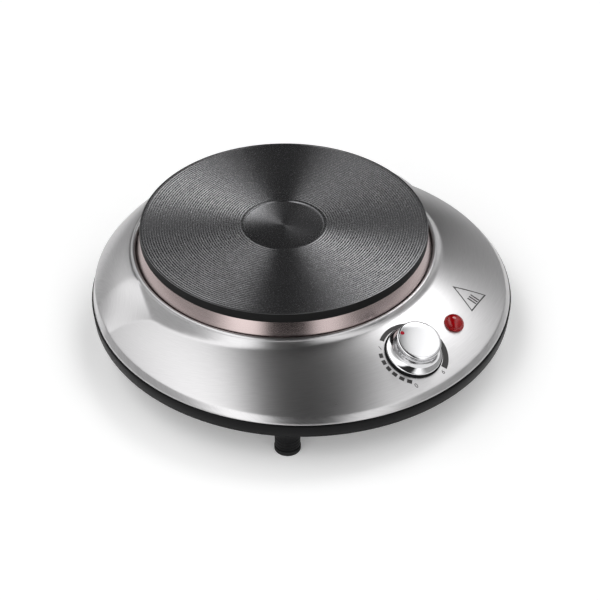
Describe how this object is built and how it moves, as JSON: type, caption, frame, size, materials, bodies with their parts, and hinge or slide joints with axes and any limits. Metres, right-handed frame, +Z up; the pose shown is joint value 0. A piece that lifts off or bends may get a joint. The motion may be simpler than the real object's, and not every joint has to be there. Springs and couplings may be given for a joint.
{
  "type": "hot plate burner",
  "caption": "Round table-top electric hot plate: grooved cast-iron plate in a low brushed-steel body with a raised rear wing, sloping control panel, chromed knob, red lamp and round feet.",
  "frame": {"origin": "on the table surface under the centre of the round body", "axes": "+Z up out of the cast plate, -Y toward the knob and the user, +X to the user's right"},
  "size_m": [0.2706, 0.2705, 0.0668],
  "materials": {
    "cast_plate": "black heat-proof coating over turned grooves",
    "tinted_steel": "stainless sheet, faintly straw and rose tinted by heat",
    "brushed_body": "stainless sheet, brushed in circles round the plate",
    "black_moulding": "fine matt moulded texture",
    "black_rubber": "matt",
    "black_sheet": "matt black paint",
    "chrome": "mirror plating",
    "red_dot": "gloss",
    "red_lens": "clear moulded red",
    "clear_glass": "clear",
    "zinc_steel": "dull zinc plating",
    "spring_steel": "bright strip",
    "brass_part": "bright",
    "silver_contact": "polished",
    "steatite": "matt",
    "element_cement": "dull grey fill",
    "element_sheath": "oxidised",
    "mineral_pad": "loose white fibre",
    "white_moulding": "matt",
    "nylon_part": "matt",
    "wire_brown": "gloss",
    "wire_blue": "gloss",
    "wire_white": "glass-fibre braid",
    "wire_green": "gloss",
    "resistor_body": "gloss"
  },
  "bodies": {
    "housing": {"hotplate_casting": "cast_plate", "heating_coils": "element_sheath", "coil_cement": "element_cement", "coil_terminals": "zinc_steel", "terminal_ceramic": "steatite", "trim_ring": "tinted_steel", "insulation_pad": "mineral_pad", "heat_reflector": "zinc_steel", "reflector_spacer": "zinc_steel", "plate_stud": "zinc_steel", "plate_bridge": "zinc_steel", "stud_washer": "zinc_steel", "stud_nut": "zinc_steel", "top_shell": "brushed_body", "shell_brackets": "zinc_steel", "bracket_screws": "zinc_steel", "base_ring": "black_moulding", "bottom_plate": "black_sheet", "plate_screws": "zinc_steel", "foot_front_left": "black_moulding", "foot_front_right": "black_moulding", "foot_rear_left": "black_moulding", "foot_rear_right": "black_moulding", "foot_pads": "black_rubber", "foot_screws": "zinc_steel", "dial_bezel": "black_moulding", "thermostat_frame": "zinc_steel", "fixed_blade": "brass_part", "fixed_contact": "silver_contact", "stack_insulators": "steatite", "stack_rivet": "zinc_steel", "thermostat_screws": "zinc_steel", "lamp_lens": "red_lens", "lamp_retainer": "spring_steel", "lamp_holder": "white_moulding", "neon_bulb": "clear_glass", "lamp_resistor": "resistor_body", "cord_gland": "black_rubber", "mains_block": "white_moulding", "block_screws": "brass_part", "earth_screw": "brass_part", "thermal_fuse": "silver_contact", "fuse_clip": "spring_steel", "live_wire": "wire_brown", "neutral_wire": "wire_blue", "heater_wires": "wire_white", "lamp_wires": "wire_white", "earth_wire": "wire_green"},
    "control": {"knob": "chrome", "knob_pointer": "red_dot", "knob_insert": "nylon_part", "knob_clip": "spring_steel", "thermostat_shaft": "brass_part"},
    "plunger": {"thermostat_plunger": "steatite"},
    "switch_arm": {"contact_arm": "spring_steel", "moving_contact": "silver_contact"},
    "bimetal": {"bimetal_blade": "spring_steel"}
  },
  "joints": [
    {"name": "knob_turn", "type": "hinge", "parent": "housing", "child": "control", "pos_m": [0, -0.108, 0.04158], "axis": [0, -0.3408, 0.9401], "range_deg": [-190, 110]},
    {"name": "plunger_slide", "type": "slide", "parent": "housing", "child": "plunger", "axis": [0, 0.3408, -0.9401], "range_m": [-0.000117, 0.000201]},
    {"name": "arm_bend", "type": "hinge", "parent": "housing", "child": "switch_arm", "pos_m": [0, -0.09123, 0.03787], "axis": [1, 0, 0], "range_deg": [-0.51, 0.84]},
    {"name": "bimetal_bend", "type": "hinge", "parent": "housing", "child": "bimetal", "pos_m": [0, -0.08905, 0.03186], "axis": [1, 0, 0], "range_deg": [0, 1.2]}
  ],
  "couplings": [
    {"joint": "plunger_slide", "follows": "knob_turn", "m_per_rad": -0.00006},
    {"joint": "arm_bend", "follows": "knob_turn", "ratio": -0.004138}
  ]
}
